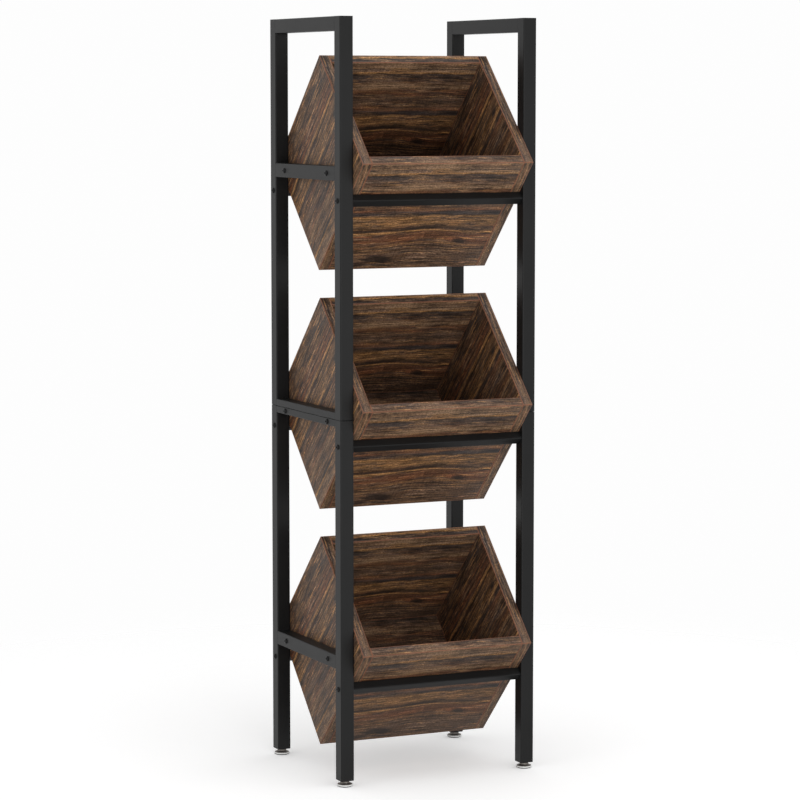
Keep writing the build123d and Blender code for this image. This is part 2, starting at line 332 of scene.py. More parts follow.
def dowel_beech(name, dark, light):
    """Beech with flecks that are long across the stand, as the dowels lie."""
    finish, start = new_finish(name)
    drawn = start.node("ShaderNodeMapping", {}, {"Vector": object_place(start), "Scale": FLECKS_PER_METRE})
    inputs = {"Vector": drawn, "Scale": 1.0, "Detail": FLECK_DETAIL}
    fleck = start.node("ShaderNodeTexNoise", {}, inputs)
    rough = BEECH_ROUGH + FLECK_ROUGH * fleck
    normal = bumped(start, fleck, FLECK_DEPTH)
    close_finish(start, Base_Color=fleck.between(dark, light), Roughness=rough, Normal=normal)
    return finish


zinc_steel = plated("zinc_plated_steel", seen(150, 150, 148), seen(205, 205, 200), least_rough=0.22)
foot_metal = plated("levelling_foot_metal", seen(104, 99, 95), seen(146, 140, 135), least_rough=0.42)
cam_metal = plated("cam_die_casting", seen(140, 141, 143), seen(185, 185, 186), least_rough=0.35)
# The dark colour given to the soles' lowest edge is painted shade.
white_nylon = nylon("white_nylon", seen(243, 243, 241), seen(250, 250, 248), painted_shade=seen(40, 39, 38))
beech = dowel_beech("beech", seen(186, 148, 104), seen(214, 180, 134))
small_part_finishes = (zinc_steel, foot_metal, cam_metal, white_nylon, beech)
print("small part finishes:", [finish.name for finish in small_part_finishes])

# %% [markdown]
# ## The wood print
# The boards carry a printed pattern of old planks, and the same sheet of print is on every board: it starts
# at the rim of a front panel and ends at its lower edge. A picture of a print could be wrapped on, but this
# script uses none, and noise alone gives any brown wood. This print has a fixed order of zones, with golden
# lines that have a dark line beside them. So the zones are a ramp across the grain, and noise drawn out
# along the grain bends that ramp and breaks it into streaks. Patches, worn lines, short dashes, cracks,
# fibres and saw marks lie over it.

# %% Zones of the print
PRINT_MAP = "print"
PRINT_WIDTH = 272.0
TONES = {
    "tan": seen(138, 110, 84),
    "brown": seen(104, 79, 60),
    "grey": seen(94, 76, 64),
    "slate": seen(56, 50, 48),
    "gold": seen(170, 124, 78),
    "honey": seen(132, 97, 63),
    "russet": seen(112, 71, 48),
    "umber": seen(78, 58, 44),
    "deep": seen(46, 36, 31),
}
# Each zone: its place across the grain in millimetres, and its tone.
ZONES = [
    (0, "tan"), (9, "brown"), (17, "tan"), (24.5, "tan"), (26, "honey"), (27.5, "honey"), (29, "slate"),
    (35, "umber"), (43, "grey"), (55, "brown"), (62, "tan"), (67, "brown"), (74, "russet"), (84, "umber"),
    (98, "grey"), (112, "brown"), (121, "russet"), (125, "slate"), (133, "slate"), (135.5, "gold"),
    (138, "gold"), (141, "honey"), (158, "honey"), (172, "umber"), (176.5, "deep"), (178, "gold"),
    (181, "gold"), (183.5, "russet"), (206, "russet"), (221, "brown"), (223, "deep"), (226, "brown"),
]


def zone_colour(across):
    """The ramp of zones at a distance across the grain."""
    stops = [(place / PRINT_WIDTH, TONES[tone]) for place, tone in ZONES]
    return across.node("ShaderNodeValToRGB", {"stops": stops}, {"Fac": across / PRINT_WIDTH})


print("print:", len(ZONES), "zones in", len(TONES), "tones")

# %% Noise along the grain
PLAIN_FINE = 0.5
NOISE_MEAN = 0.5
# Each noise: length and width of its lumps in millimetres, its seed, and where it is richer than plain
# noise also its detail and the weight of its finest lumps.
NOISES = {
    "sway": (150.0, 60.0, 1.0),
    "ripple": (30.0, 14.0, 2.0),
    "shuffle": (70.0, 3.5, 3.0, 4.0),
    "busy": (100.0, 22.0, 4.0, 3.0),
    "fibre": (16.0, 1.2, 5.0, 3.0, 0.6),
    "grain": (90.0, 3.2, 6.0, 5.0, 0.7),
    "feathers": (26.0, 2.6, 7.0, 3.0),
    "saw marks": (3.6, 40.0, 8.0),
    "chatter": (3.2, 2.4, 9.0),
    "ragged": (22.0, 4.0, 10.0, 3.0),
    "crowd": (70.0, 12.0, 20.0, 3.0),
    "crack": (24.0, 2.4, 21.0, 3.0, 0.6),
    "worn": (65.0, 9.0, 30.0, 3.0),
    "broad": (90.0, 16.0, 31.0, 3.0),
}


def streaks(along, across, length, width, seed, detail=PLAIN_DETAIL, fine=PLAIN_FINE):
    """Noise drawn out along the grain, with lumps of about `length` by `width` millimetres."""
    parts = {"X": along / length, "Y": across / width, "Z": seed}
    place = along.node("ShaderNodeCombineXYZ", {}, parts)
    inputs = {"Vector": place, "Scale": 1.0, "Detail": detail, "Roughness": fine}
    return along.node("ShaderNodeTexNoise", {}, inputs)


def named_noise(along, across, name):
    """One of the noises in the list."""
    return streaks(along, across, *NOISES[name])


def wander(along, across, name):
    """One of the noises in the list, around 0."""
    return named_noise(along, across, name) - NOISE_MEAN


print("noises of the print:", sorted(NOISES))

# %% Bend the grain
ARCH_RISE = 13.0
ARCH_ALONG = (15.0, 70.0)
ARCH_ACROSS = (200.0, 45.0)
SWAY = 7.0
RIPPLE = 14.0
RIPPLED_ALONG = (0.0, 140.0)
RIPPLED_ACROSS = (155.0, 16.0)
RAGGED = 4.0


def bend(along, across):
    """Distance across the grain after bending it: a low arch, a slow sway, a ripple in one band, each by
    bell curves of a middle and a width, and ragged edges."""
    arch = ARCH_RISE * along.bell(*ARCH_ALONG) * across.bell(*ARCH_ACROSS)
    sway = SWAY * wander(along, across, "sway")
    rippled = across.bell(*RIPPLED_ACROSS) * along.bell(*RIPPLED_ALONG)
    ripple = RIPPLE * wander(along, across, "ripple") * rippled
    ragged = RAGGED * wander(along, across, "ragged")
    return across + arch + sway + ripple + ragged


print("the arch lifts the grain by", ARCH_RISE, "mm")

# %% Streaks and dashes
STREAK_DETAIL = 3.0
STREAK_FINE = 0.6
STREAK_SEED = 11.0
DASH_SEED = 40.0
# Each streak: tone, length and width in millimetres, noise where it starts and is full, share of its tone.
STREAKS = [
    ("russet", 90.0, 6.5, 0.52, 0.57, 0.4),
    ("grey", 110.0, 9.0, 0.5, 0.56, 0.5),
    ("tan", 75.0, 5.5, 0.54, 0.58, 0.5),
    ("umber", 80.0, 5.5, 0.53, 0.58, 0.5),
    ("gold", 60.0, 3.4, 0.57, 0.6, 0.55),
    ("slate", 55.0, 4.0, 0.54, 0.58, 0.75),
]
# Each dash: length and width in millimetres, noise where it starts and is full, change of brightness.
DASHES = [
    (60.0, 2.1, 0.515, 0.55, 0.35),
    (60.0, 2.0, 0.53, 0.56, -0.5),
    (14.0, 1.8, 0.54, 0.58, -0.3),
    (9.0, 0.7, 0.57, 0.61, -0.45),
]
CROWD_EDGES = (0.5, 0.58)
CRACK_EDGES = (0.49, 0.53)
CRACK_DARK = 0.5


def streaked(colour, along, bent, strong):
    """The colour with streaks of other tones over it."""
    for number, (tone, length, width, low, high, share) in enumerate(STREAKS):
        noise = streaks(along, bent, length, width, STREAK_SEED + number, STREAK_DETAIL, STREAK_FINE)
        colour = colour.mix(TONES[tone], share * strong * noise.step(low, high))
    return colour


def dashed(colour, along, bent, strong):
    """The colour with short lighter and darker dashes, and with cracks where they crowd together."""
    for number, (length, width, low, high, change) in enumerate(DASHES):
        noise = streaks(along, bent, length, width, DASH_SEED + number, STREAK_DETAIL, STREAK_FINE)
        colour = colour.shaded(1.0 + change * strong * noise.step(low, high))
    crowd = named_noise(along, bent, "crowd").step(*CROWD_EDGES)
    crack = named_noise(along, bent, "crack").step(*CRACK_EDGES)
    return colour.shaded(1.0 - CRACK_DARK * crowd * crack)


print("over the zones:", len(STREAKS), "kinds of streak and", len(DASHES), "of dash")

# %% Patches and lines
PATCH_EDGES = (0.2, 1.2)
FEATHERS = 3.2
WORN_EDGES = (0.4, 0.52)
# Each patch: tone, middle along and across the grain, half length, half width, share of its tone.
PATCHES = [
    ("tan", 5.0, 8.0, 50.0, 9.0, 0.6),
    ("gold", -4.0, 18.0, 36.0, 5.0, 0.5),
    ("slate", -105.0, 35.0, 50.0, 7.0, 0.7),
    ("slate", 85.0, 36.0, 60.0, 5.0, 0.65),
    ("tan", -20.0, 56.0, 60.0, 8.0, 0.5),
    ("umber", -60.0, 92.0, 70.0, 12.0, 0.5),
    ("slate", 88.0, 128.0, 80.0, 8.0, 0.8),
    ("gold", -40.0, 152.0, 70.0, 10.0, 0.4),
    ("deep", 5.0, 170.0, 42.0, 6.0, 0.8),
    ("slate", -78.0, 189.0, 16.0, 5.0, 0.8),
    ("russet", 0.0, 196.0, 120.0, 11.0, 0.5),
    ("deep", 88.0, 206.0, 17.0, 7.5, 0.95),
    ("grey", 60.0, 244.0, 90.0, 18.0, 0.5),
    ("deep", -60.0, 250.0, 34.0, 11.0, 0.95),
    ("deep", -98.0, 261.0, 22.0, 8.0, 0.85),
    ("slate", 268.0, 80.0, 42.0, 8.0, 0.75),
    ("slate", 355.0, 244.0, 32.0, 8.0, 0.6),
]
# Each line: tone, place across the grain, width, share of its tone.
LINES = [
    ("slate", 17.0, 2.2, 0.8),
    ("gold", 26.0, 1.8, 0.9),
    ("slate", 31.0, 3.0, 0.7),
    ("tan", 64.0, 3.0, 0.6),
    ("slate", 129.0, 4.0, 0.7),
    ("gold", 138.0, 2.0, 0.8),
    ("deep", 173.0, 2.4, 0.7),
    ("gold", 179.5, 1.8, 0.95),
    ("gold", 216.0, 1.4, 0.5),
    ("deep", 223.0, 1.3, 0.7),
]


def patched(colour, along, bent):
    """The colour with patches, each an ellipse whose edge is feathered along the grain, and worn lines."""
    feathers = FEATHERS * wander(along, bent, "feathers")
    for tone, middle, height, length, width, share in PATCHES:
        far_along = (along - middle) / length
        far_across = (bent - height) / width
        far = far_along * far_along + far_across * far_across + feathers
        colour = colour.mix(TONES[tone], share * (1 - far.step(*PATCH_EDGES)))
    worn = named_noise(along, bent, "worn").step(*WORN_EDGES)
    for tone, line, width, share in LINES:
        colour = colour.mix(TONES[tone], share * worn * bent.bell(line, width))
    return colour


print("over the streaks:", len(PATCHES), "patches and", len(LINES), "lines")

# %% The print as a finish
BUSY_EDGES = (0.42, 0.58)
SHUFFLE = 60.0
LEAST_SHUFFLED = 0.15
BUSY_SHUFFLED = 0.6
LEAST_STRENGTH = 0.55
BUSY_STRENGTH = 0.4
LOWER_STRENGTH = 0.15
LOWER_EDGES = (100.0, 160.0)
END_STRENGTH = 0.25
END_EDGES = (150.0, 165.0)
# Each fine noise: the brightness in its middle, and how much it changes that.
SHADES = {
    "broad": (1.2, 1.4),
    "grain": (1.0, 3.0),
    "fibre": (1.0, 1.8),
    "chatter": (1.0, 2.2),
    "saw marks": (1.0, 0.7),
}
ARRIS_TONE = seen(142, 93, 70)
LEAST_BARE = 0.35
GRAIN_BARE = 0.9
PRINT_ROUGH = 0.5
FIBRE_ROUGH = 0.2
CHATTER_RELIEF = 0.5
PRINT_RELIEF = 0.08
PRINT_SHINE = 0.22


def wood_print(name):
    """The print in the board's own millimetres, and the bare line along each arris. Streaks are stronger
    where the print is busy, in its lower part and in the stretch that covers the end panels."""
    finish, start = new_finish(name)
    place = start.node("ShaderNodeUVMap", {"uv_map": PRINT_MAP})
    split = start.node("ShaderNodeSeparateXYZ", {}, {"Vector": place})
    along = split.output("X") / MM
    across = split.output("Y") / MM
    bent = bend(along, across)
    shuffled = bent + SHUFFLE * wander(along, bent, "shuffle")
    busy = named_noise(along, across, "busy").step(*BUSY_EDGES)
    lively = LOWER_STRENGTH * across.step(*LOWER_EDGES) + END_STRENGTH * along.step(*END_EDGES)
    strong = LEAST_STRENGTH + BUSY_STRENGTH * busy + lively

    colour = zone_colour(bent).mix(zone_colour(shuffled), LEAST_SHUFFLED + BUSY_SHUFFLED * busy)
    colour = streaked(colour, along, bent, strong)
    colour = patched(colour, along, bent)
    colour = dashed(colour, along, bent, strong)
    fine = {}
    for noise, (level, change) in SHADES.items():
        fine[noise] = named_noise(along, across if noise == "saw marks" else bent, noise)
        colour = colour.shaded(level + change * (fine[noise] - NOISE_MEAN))

    arris = start.node("ShaderNodeAttribute", {"attribute_name": "arris"}, out="Fac")
    colour = colour.mix(ARRIS_TONE, arris * (LEAST_BARE + GRAIN_BARE * fine["grain"]))
    rough = PRINT_ROUGH + FIBRE_ROUGH * (fine["fibre"] - NOISE_MEAN)
    normal = bumped(start, fine["fibre"] + CHATTER_RELIEF * fine["chatter"], PRINT_RELIEF)
    close_finish(start, Base_Color=colour, Roughness=rough, Normal=normal, Specular_IOR_Level=PRINT_SHINE)
    return finish


rustic_print = wood_print("rustic_wood_print")
print("wood print nodes:", len(rustic_print.node_tree.nodes))

# %% [markdown]
# ## Stage and light
# The stand was shown on white, with a soft shadow round the feet. One strong lamp would give that shadow a
# hard edge, so a white world lights the stand from all sides, as a light tent does. A low strip in front
# looks into the bins, and a softbox at the left and one above give the faces of the posts their different
# tones. The floor is nearly white and fades into the white world, so that no horizon shows.

# %% World
WORLD_LIGHT = 0.7
WHITE = (1.0, 1.0, 1.0, 1.0)
BACKDROP_WHITE = 0.985


def seen_directly(start):
    """1 for rays from the camera, in reflections and through glass."""
    path = start.node("ShaderNodeLightPath")
    shown = path.output("Is Camera Ray")
    for ray in ("Is Glossy Ray", "Is Transmission Ray"):
        shown = shown.larger(path.output(ray))
    return shown


world = bpy.data.worlds.new("light_tent")
world.use_nodes = True
world.node_tree.nodes.clear()
sky = Wire(world.node_tree)
tent = sky.node("ShaderNodeBackground", {}, {"Color": WHITE, "Strength": WORLD_LIGHT})
shown_white = sky.node("ShaderNodeBackground", {}, {"Color": WHITE, "Strength": BACKDROP_WHITE})
chosen = sky.node("ShaderNodeMixShader", {}, {0: seen_directly(sky), 1: tent, 2: shown_white})
sky.node("ShaderNodeOutputWorld", {}, {"Surface": chosen})
scene.world = world
print("world lights at", WORLD_LIGHT)

# %% Lamps
# Each lamp: its place, width and height in metres, and its power in watts.
LAMPS = {
    "front_strip": ((-0.4, -4.2, 0.55), 2.8, 0.9, 52.0),
    "left_softbox": ((-4.0, -1.2, 1.6), 2.4, 2.4, 14.0),
    "top_softbox": ((0.2, -1.4, 3.4), 2.0, 2.0, 14.0),
}
AIM = np.array([0.0, 0.0, 0.6])


def add_lamp(name, place, width, height, power):
    """A rectangular area lamp that faces the middle of the stand."""
    data = bpy.data.lights.new(name, "AREA")
    data.shape = "RECTANGLE"
    data.size = width
    data.size_y = height
    data.energy = power
    lamp = bpy.data.objects.new(name, data)
    lamp.location = place
    away = np.array(place) - AIM
    level = math.hypot(away[0], away[1])
    lamp.rotation_euler = (math.atan2(level, away[2]), 0, math.atan2(away[0], -away[1]))
    scene.collection.objects.link(lamp)


for lamp_name, settings in LAMPS.items():
    add_lamp(lamp_name, *settings)
print("lamps:", sorted(LAMPS))

# %% Floor
FLOOR_HALF = 4.0
FADE_EDGES = (0.7, 1.8)
FLOOR_PLAIN = (0.36, 0.36, 0.36, 1.0)
FLOOR_SHOWN = (0.97, 0.97, 0.97, 1.0)
FLOOR_LIFT = 0.28


def floor_finish():
    """Pale floor that keeps the shadow near the stand and fades into the white world further out."""
    finish, start = new_finish("pale_floor")
    length = {"operation": "LENGTH"}
    far = start.node("ShaderNodeVectorMath", length, {0: object_place(start)}, out="Value")
    direct = seen_directly(start)
    matt = start.node("ShaderNodeBsdfDiffuse", {}, {"Color": direct.between(FLOOR_PLAIN, FLOOR_SHOWN)})
    glow = start.node("ShaderNodeEmission", {}, {"Color": WHITE, "Strength": FLOOR_LIFT * direct})
    lit = start.node("ShaderNodeAddShader", {}, {0: matt, 1: glow})
    clear = start.node("ShaderNodeBsdfTransparent")
    fading = start.node("ShaderNodeMixShader", {}, {0: far.step(*FADE_EDGES), 1: lit, 2: clear})
    start.node("ShaderNodeOutputMaterial", {}, {"Surface": fading})
    return finish


floor_corners = FLOOR_HALF * np.array([(-1, -1, 0), (1, -1, 0), (1, 1, 0), (-1, 1, 0)], float)
floor_mesh = bpy.data.meshes.new("studio_floor")
floor_mesh.from_pydata(floor_corners, [], [(0, 1, 2, 3)])
floor_mesh.materials.append(floor_finish())
floor = bpy.data.objects.new("studio_floor", floor_mesh)
scene.collection.objects.link(floor)
print("floor", 2 * FLOOR_HALF, "m square")

# %% [markdown]
# ## Surfaces from grids
# Nearly every piece of the stand is one outline carried along a line: a rounded square along a tube, a
# circle along a bolt. Such pieces could be cubes and cylinders with modifiers, but an array says exactly
# where each point lies. So a surface is an array of outlines, one per step along the line, and its faces
# are the cells of the grid. Columns run anticlockwise round the line and rows run along it, which makes
# the faces point outwards.

# %% Grid helpers
SHARP_EDGE = math.radians(38)


def lattice(rows, columns, ring=False):
    """Cells of a grid that closes round its columns, and round its rows too if it is a ring."""
    row = np.arange(rows if ring else rows - 1)[:, None]
    column = np.arange(columns)[None, :]
    above = (row + 1) % rows
    beside = (column + 1) % columns
    corners = [(row, column), (row, beside), (above, beside), (above, column)]
    cells = [level * columns + place for level, place in corners]
    return np.stack(cells, axis=-1).reshape(-1, len(corners)).tolist()


def capped(rows, columns):
    """The cells of an open grid, with one face over each end."""
    low = list(range(columns))[::-1]
    high = list(range((rows - 1) * columns, rows * columns))
    return lattice(rows, columns) + [low, high]


def carried(outlines, heights):
    """Points of outlines, an array of rows by columns by two, each lifted to its height."""
    column = np.asarray(heights, float).reshape(-1, 1, 1)
    lifted = np.broadcast_to(column, outlines.shape[:2] + (1,))
    return np.concatenate([outlines, lifted], axis=2).reshape(-1, 3)


def axes_of(along, side):
    """Matrix whose columns are a shape's own x, y and z: side, its square partner, and along."""
    along = np.array(along, float)
    side = np.array(side, float)
    return np.stack([side, np.cross(along, side), along], axis=1)


def placed(points, axes, middle):
    """Points in millimetres turned to the axes and moved to the middle, in metres."""
    return (points @ axes.T + np.array(middle)) * MM


def joined(shapes):
    """Several (points, faces) shapes as one."""
    faces = []
    first = 0
    for points, cells in shapes:
        faces += [[first + corner for corner in cell] for cell in cells]
        first += len(points)
    return np.concatenate([points for points, _ in shapes]), faces


def copies(shape, places):
    """One shape at each of several (axes, middle) places."""
    points, faces = shape
    return joined([(placed(points, axes, middle), faces) for axes, middle in places])


def add_piece(name, shape, finish, body="stand", replaced=()):
    """Makes the mesh of a piece, gives it its finish, and lets it ride on its body."""
    points, faces = shape
    mesh = bpy.data.meshes.new(name)
    mesh.from_pydata(points, [], faces)
    mesh.polygons.foreach_set("use_smooth", np.ones(len(mesh.polygons), bool))
    mesh.set_sharp_from_angle(angle=SHARP_EDGE)
    mesh.materials.append(finish)
    piece = bpy.data.objects.new(name, mesh)
    scene.collection.objects.link(piece)
    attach(piece, body)
    if replaced:
        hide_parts(*replaced)
    return piece


print("faces that meet at more than", round(math.degrees(SHARP_EDGE)), "degrees keep a sharp edge")

# %% [markdown]
# ## Square tubes
# A drawn tube has small round corners, and they carry the thin highlights that make it read as steel. A
# cube with a Bevel modifier comes close, but its ends are closed. Here the outline is a rounded rectangle
# with one extra point on each flat close to the corner, so that smooth shading bends only at the corner.
# It is carried once round the wall: up the outside, over the rim, down the bore and back under the other
# rim.

# %% Tube surface
CORNER_STEPS = 5
CORNER_POINTS = CORNER_STEPS + 3
RIM_STEPS = 3
RIM_EDGE = 0.4
LEAST_RADIUS = 0.15
TUBE_WALL = 1.2
TUBE_MARGIN = 0.6


def quarter(steps):
    """The angles of a quarter circle."""
    return np.linspace(0, QUARTER_TURN, steps + 1)


def rounded_rectangle(half_x, half_y, radius, margin, extra=()):
    """Outlines of rounded rectangles, one per row: a point on the flat, a quarter circle, a point on the
    flat, at each corner in turn. Extra places along the first long flat (+y) get points of their own."""
    sizes = (half_x, half_y, radius)
    half_x, half_y, radius = (np.asarray(size, float).reshape(-1, 1) for size in sizes)
    turn = quarter(CORNER_STEPS)
    first = np.zeros(CORNER_POINTS)
    first[0] = margin
    last = first[::-1]
    out_x = radius * np.concatenate([[1.0], np.cos(turn), [0.0]]) - last
    out_y = radius * np.concatenate([[0.0], np.sin(turn), [1.0]]) - first
    deep_x = half_x - radius
    deep_y = half_y - radius
    xs = [deep_x + out_x, -deep_x - out_y, -deep_x - out_x, deep_x + out_y]
    ys = [deep_y + out_y, deep_y + out_x, -deep_y - out_y, -deep_y - out_x]
    if len(extra):
        xs.insert(1, np.broadcast_to(np.asarray(extra, float), (len(half_x), len(extra))))
        ys.insert(1, np.broadcast_to(half_y, (len(half_y), len(extra))))
    return np.stack([np.concatenate(xs, axis=1), np.concatenate(ys, axis=1)], axis=-1)


def square_tube(half_x, half_y, reach, corner):
    """A hollow tube: the outline moved inwards by `inset` at `height`, once round the wall's section."""
    turn = quarter(RIM_STEPS)
    over = RIM_EDGE * (1 - np.cos(turn))
    rise = RIM_EDGE * (1 - np.sin(turn))
    lip = TUBE_WALL - RIM_EDGE / 2
    inset = np.concatenate([[0, 0], over, [lip, TUBE_WALL, TUBE_WALL, lip], over[::-1]])
    top = reach - np.concatenate([[RIM_EDGE + TUBE_MARGIN], rise, [0, RIM_EDGE / 2]])
    bottom = -reach + np.concatenate([[RIM_EDGE / 2, 0], rise[::-1]])
    height = np.concatenate([[-reach + RIM_EDGE + TUBE_MARGIN], top, bottom])
    radius = np.maximum(corner - inset, LEAST_RADIUS)
    outlines = rounded_rectangle(half_x - inset, half_y - inset, radius, TUBE_MARGIN)
    return carried(outlines, height), lattice(len(height), outlines.shape[1], ring=True)


print("a tube's outline has", 4 * CORNER_POINTS, "points")

# %% Side frame tubes
TUBE_RADIUS = 1.7
WELD_REACH = 1.1
SIDES = {"left": -1, "right": 1}
UPRIGHT = axes_of((0, 0, 1), (1, 0, 0))
FORE_AND_AFT = axes_of((0, 1, 0), (0, 0, 1))


def node_box(node):
    """Middle and half size of a CAD node, in millimetres."""
    low, high = (np.array(corner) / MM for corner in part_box(node))
    return (low + high) / 2, (high - low) / 2


def add_tube(node, shape, axes):
    """A painted tube in the middle of its CAD node."""
    middle, _ = node_box(node)
    tube = copies(shape, [(axes, middle)])
    return add_piece(f"{node}_tube", tube, frame_paint, replaced=[node])


def frame_tube(node):
    """A post along z, or a rail along y that reaches a little into the posts' round corners."""
    _, half = node_box(node)
    if node.endswith("post"):
        return add_tube(node, square_tube(half[0], half[1], half[2], TUBE_RADIUS), UPRIGHT)
    return add_tube(node, square_tube(half[2], half[0], half[1] + WELD_REACH, TUBE_RADIUS), FORE_AND_AFT)


frame_nodes = [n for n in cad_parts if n.startswith(tuple(SIDES)) and n.endswith(("post", "rail"))]
frame_tubes = [frame_tube(node) for node in sorted(frame_nodes)]
print("side frames:", len(frame_tubes), "tubes")

# %% [markdown]
# ## Cross rails
# Each bin lies on two thin rails that are turned by 45 degrees with it, so that a flat of the tube, not an
# edge, carries the board. Upright rails would be simpler, but the board would rest on a sharp line. They
# are the same surface along x, in the bin's turned axes.

# %% Cross rail tubes
CROSS_HALF = 8.0
CROSS_RADIUS = 1.4
LEVELS = ("top", "middle", "bottom")
DEPTHS = ("front", "rear")
SLANT = math.sqrt(0.5)
ACROSS_X = np.array([1.0, 0.0, 0.0])
BIN_Y = np.array([0.0, SLANT, SLANT])
BIN_Z = np.array([0.0, -SLANT, SLANT])
CROSSWISE = axes_of(ACROSS_X, BIN_Y)


def cross_tube(node):
    """A thin tube along x, turned with the bin."""
    _, half = node_box(node)
    return add_tube(node, square_tube(CROSS_HALF, CROSS_HALF, half[0], CROSS_RADIUS), CROSSWISE)


cross_nodes = [f"{level}_{depth}_cross_rail" for level in LEVELS for depth in DEPTHS]
cross_tubes = [cross_tube(node) for node in cross_nodes]
print("cross rails:", len(cross_tubes))

# %% [markdown]
# ## Weld fillets
# The rails are welded to the posts. On the outer faces the weld is ground flush, and in the inner corners,
# above and below a rail, a small hollow fillet stays under the paint. A bump could hint at it, but its
# outline shows against the light. So it is a surface: its section is a concave quarter circle, and its size
# ripples slowly across the rail as the torch moved.

# %% Fillets in the inner corners
FILLET = 2.4
FILLET_ROOT = 0.3
FILLET_ROWS = 41
FILLET_STEPS = 6
RIPPLE_PITCH = 1.9
RIPPLE_SHARE = 0.07
TAPER_POWER = 8
LEAST_TAPER = 0.02
# Each rail: the faces with a fillet, -1 below and 1 above.
JOINTS = {
    "top_rail": (-1,),
    "upper_bin_rail": (-1, 1),
    "upper_seam_rail": (1,),
    "lower_seam_rail": (-1,),
    "lower_bin_rail": (-1, 1),
}


def fillet(half_width):
    """Points at (away from the post, away from the rail) with a concave arc, carried across the rail."""
    across = np.linspace(-half_width, half_width, FILLET_ROWS)
    ripple = 1 + RIPPLE_SHARE * np.cos(FULL_TURN * across / RIPPLE_PITCH)
    taper = np.sqrt(np.clip(1 - (np.abs(across) / half_width) ** TAPER_POWER, LEAST_TAPER, 1))
    leg = (FILLET * ripple * taper)[:, None]
    turn = quarter(FILLET_STEPS)
    arcs = [leg * (1 - np.sin(turn)), leg * (1 - np.cos(turn))]
    root = np.full((FILLET_ROWS, 1), -FILLET_ROOT)
    outlines = np.stack([np.concatenate([root, arc], axis=1) for arc in arcs], axis=-1)
    return carried(outlines, across), capped(FILLET_ROWS, outlines.shape[1])


def fillet_places(node, faces):
    """Axes and corner of the fillets at both ends of a rail, on its upper or lower face or on both."""
    middle, half = node_box(node)
    places = []
    for up in faces:
        for end in (-1, 1):
            away = np.array([0.0, -end, 0.0])
            off = np.array([0.0, 0.0, up])
            axes = np.stack([away, off, np.cross(away, off)], axis=1)
            places.append((axes, middle + np.array([0, end * half[1], up * half[2]])))
    return places


rail_fillets = []
for side in SIDES:
    for rail, faces in JOINTS.items():
        _, rail_half = node_box(f"{side}_{rail}")
        shape = fillet(rail_half[0] - TUBE_RADIUS / 2)
        rail_fillets.append(copies(shape, fillet_places(f"{side}_{rail}", faces)))
add_piece("weld_fillets", joined(rail_fillets), frame_paint)
print("rails with weld fillets:", len(rail_fillets))

# %% [markdown]
# ## Boards
# A bin is five boards. Each is a block with slightly rounded arrises, where the edge strip shows as a thin
# line, and the long boards have round pockets for the cams on one face. A Bevel and a Boolean modifier
# could cut all that, but they leave slivers. So the outline across the board is carried along its grain,
# and at each end it draws in round the arris and is closed by one face. A pocket takes the place of one
# cell of the grid.

# %% Board surface
ARRIS = 0.7
ARRIS_MARGIN = 0.9
ARRIS_STEPS = 3
POCKET_RADIUS = 7.5
POCKET_DEPTH = 13.0
POCKET_CELL = 10.0
POCKET_STEPS = 40
EIGHTH_TURN = QUARTER_TURN / 2


def board_rows(half, cuts):
    """Inset and height of each outline along the grain: cap, round arris, flat with cuts, and back."""
    turn = quarter(ARRIS_STEPS)
    inset = np.concatenate([[ARRIS + ARRIS_MARGIN], ARRIS * (1 - np.sin(turn)), [0]])
    height = np.concatenate([[0], ARRIS * (1 - np.cos(turn)), [ARRIS + ARRIS_MARGIN]]) - half
    insets = np.concatenate([inset, np.zeros(len(cuts)), inset[::-1]])
    heights = np.concatenate([height, np.sort(cuts), -height[::-1]])
    return insets, heights


def pocket(points, cell, across, along, top):
    """Points and faces of a round pocket in one square cell of the grid: four faces from the cell's sides
    to the rim, then the wall and the bottom."""
    step = np.arange(POCKET_STEPS)
    turn = step * FULL_TURN / POCKET_STEPS + EIGHTH_TURN
    round_x = across + POCKET_RADIUS * np.sin(turn)
    round_z = along + POCKET_RADIUS * np.cos(turn)
    rim = np.stack([round_x, np.full(POCKET_STEPS, top), round_z], axis=1)
    bottom = rim - (0, POCKET_DEPTH, 0)
    rim_ids = len(points) + step
    bottom_ids = rim_ids + POCKET_STEPS
    corners = points[cell]
    bearing = np.arctan2(corners[:, 0] - across, corners[:, 2] - along)
    order = np.asarray(cell)[np.argsort((bearing - EIGHTH_TURN) % FULL_TURN)].tolist()
    arc_steps = POCKET_STEPS // len(cell)
    faces = []
    for k, corner in enumerate(order):
        arc = rim_ids[np.arange(k * arc_steps, (k + 1) * arc_steps + 1) % POCKET_STEPS].tolist()
        faces.append([corner, order[(k + 1) % len(cell)]] + arc[::-1])
    after = np.roll(step, -1)
    faces += np.stack([rim_ids, rim_ids[after], bottom_ids[after], bottom_ids], axis=1).tolist()
    faces.append(bottom_ids.tolist())
    return np.concatenate([rim, bottom]), faces


